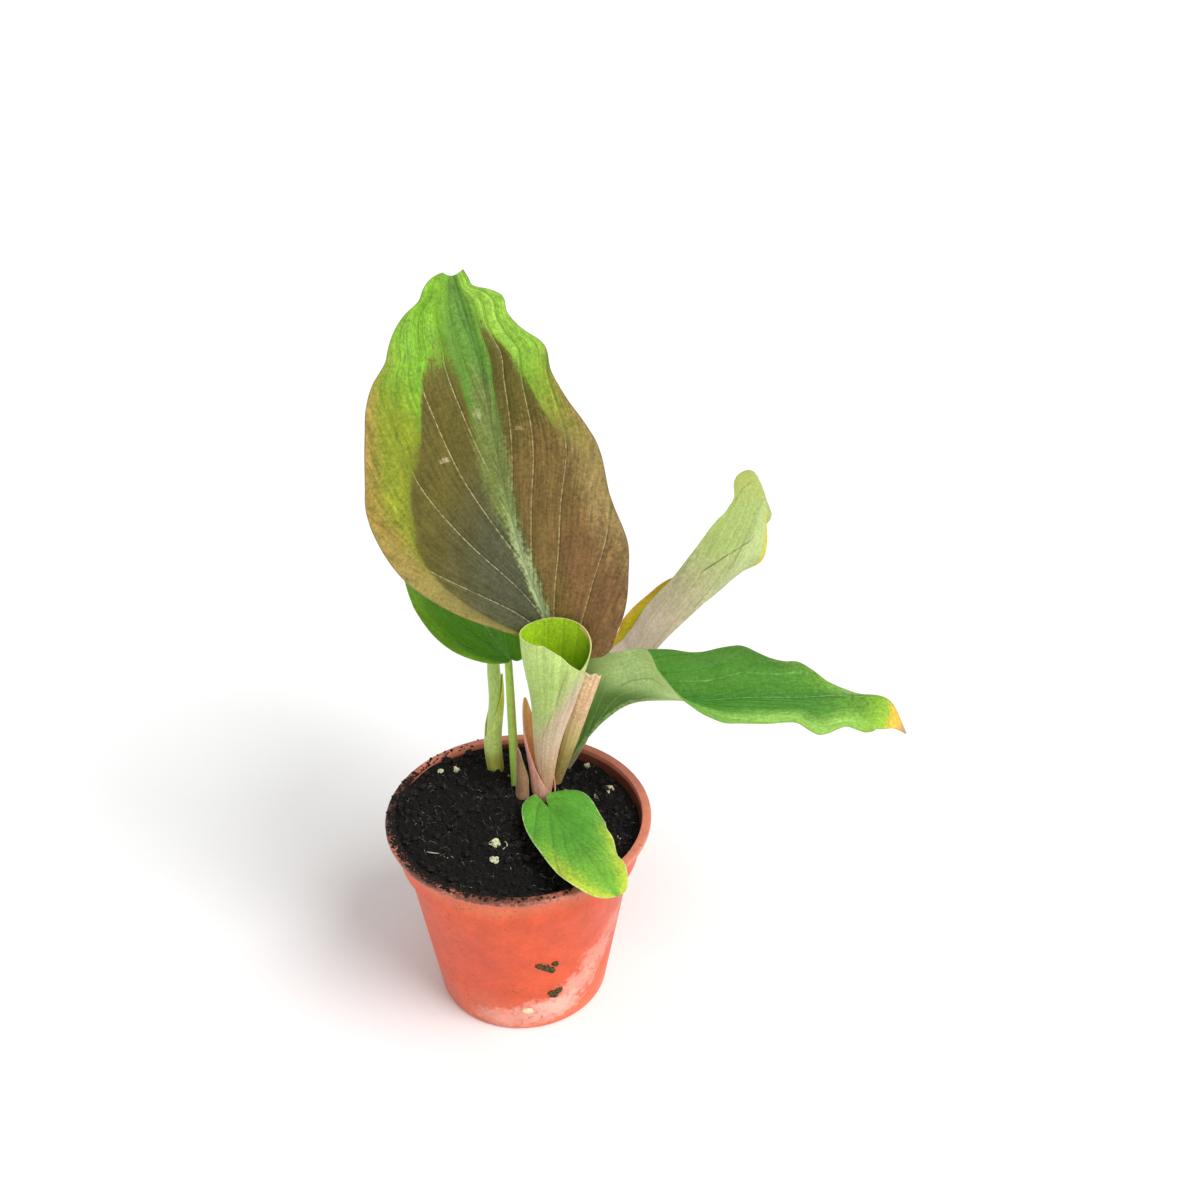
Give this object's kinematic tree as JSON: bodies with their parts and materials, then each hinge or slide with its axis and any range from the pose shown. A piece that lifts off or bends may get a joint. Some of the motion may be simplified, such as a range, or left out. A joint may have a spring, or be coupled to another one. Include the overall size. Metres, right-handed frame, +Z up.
{
  "type": "potted peacock ginger",
  "caption": "Young peacock ginger with broad veined leaves, a rolled leaf and sheathed shoots, standing in dark potting mix in a small tapered terracotta-coloured nursery pot.",
  "frame": {"origin": "centre of the flat boss under the pot's floor, level with its foot ring", "axes": "+Z up the pot's axis; -Y towards the viewer of the picture, +X to their right"},
  "size_m": [0.1742, 0.1376, 0.2461],
  "materials": {
    "terracotta_plastic": "satin",
    "potting_mix": "matte",
    "bronze_leaf": "satin",
    "deep_green_leaf": "satin",
    "bright_green_leaf": "satin",
    "pale_green_leaf": "satin",
    "grey_pink_leaf": "satin",
    "leaf_stalk": "satin",
    "pink_sheath": "satin",
    "tan_sheath": "satin",
    "dried_sheath": "matte",
    "rhizome": "matte",
    "storage_root": "matte",
    "perlite": "matte",
    "granule": "matte",
    "root_fibre": "matte"
  },
  "bodies": {
    "root": {"pot": "terracotta_plastic", "soil": "potting_mix", "rhizome": "rhizome", "storage_root_1": "storage_root", "storage_root_2": "storage_root", "storage_root_3": "storage_root", "storage_root_4": "storage_root", "main_leaf_blade": "bronze_leaf", "rear_leaf_blade": "deep_green_leaf", "small_leaf_blade": "bright_green_leaf", "right_leaf": "bright_green_leaf", "upper_leaf": "grey_pink_leaf", "rolled_leaf": "pale_green_leaf", "outer_sheath": "pink_sheath", "inner_sheath": "tan_sheath", "dried_sheath": "dried_sheath", "shoot_scale": "pale_green_leaf", "main_leaf_stalk": "leaf_stalk", "rear_leaf_stalk": "leaf_stalk", "small_leaf_stalk": "tan_sheath", "furled_shoot": "pale_green_leaf", "perlite_1": "perlite", "perlite_2": "perlite", "perlite_3": "perlite", "perlite_4": "perlite", "perlite_5": "perlite", "perlite_6": "perlite", "perlite_7": "perlite", "perlite_8": "perlite", "granule_1": "granule", "granule_2": "granule", "granule_3": "granule", "rootlet_1": "root_fibre", "rootlet_2": "root_fibre"}
  },
  "joints": []
}
